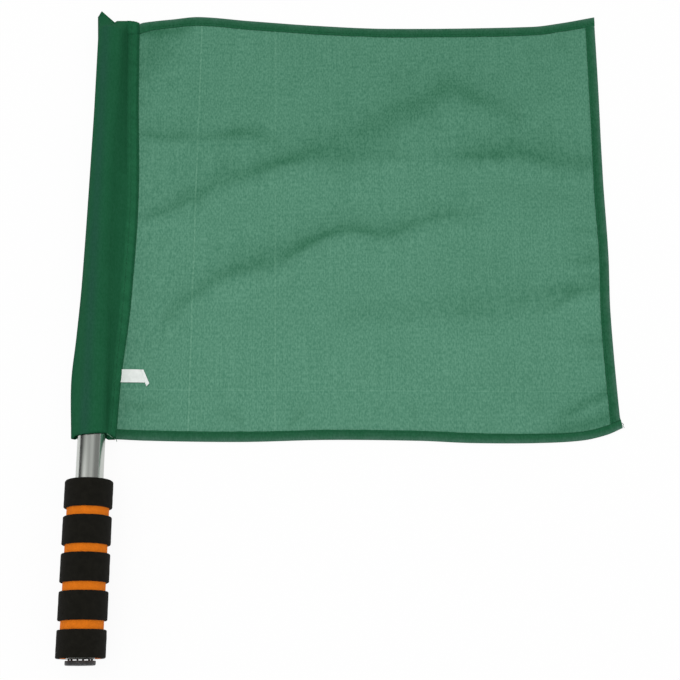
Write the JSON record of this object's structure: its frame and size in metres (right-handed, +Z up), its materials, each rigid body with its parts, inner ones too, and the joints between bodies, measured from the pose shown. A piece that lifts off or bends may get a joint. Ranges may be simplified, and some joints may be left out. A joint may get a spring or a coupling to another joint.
{
  "type": "linesman flag",
  "caption": "Hand flag for a line judge: square of thin green cloth with hemmed edges, its stitched sleeve turning on a steel tube with a ribbed foam grip and plugged ends.",
  "frame": {"origin": "bottom centre of the whole flag's box as it lies flat on a table", "axes": "+Y along the pole from the butt of the grip to the closed end of the sleeve, +X from the pole towards the cloth's free edge, +Z up from the table"},
  "size_m": [0.3944, 0.4966, 0.0348],
  "materials": {
    "tube_steel": "fine lengthwise polish",
    "plug_plastic": "moulded, dark grey",
    "orange_foam": "matt closed-cell foam",
    "black_foam": "matt closed-cell foam",
    "green_cloth": "plain weave, one thin layer",
    "green_layers": "plain weave, several layers",
    "label_tape": "bare white woven tape"
  },
  "bodies": {
    "handle": {"pole_tube": "tube_steel", "end_plug": "plug_plastic", "tip_plug": "plug_plastic", "grip_core": "orange_foam", "grip_ring_1": "black_foam", "grip_ring_2": "black_foam", "grip_ring_3": "black_foam", "grip_ring_4": "black_foam", "grip_ring_5": "black_foam"},
    "flag": {"flag_panel": "green_cloth", "pole_sleeve": "green_layers", "top_hem": "green_layers", "bottom_hem": "green_layers", "fly_hem": "green_layers", "label": "label_tape"}
  },
  "joints": [
    {"name": "sleeve_turn", "type": "hinge", "parent": "handle", "child": "flag", "pos_m": [-0.1796, -0.09392, 0.01585], "axis": [0, 0.9999, -0.0173], "continuous": true}
  ]
}
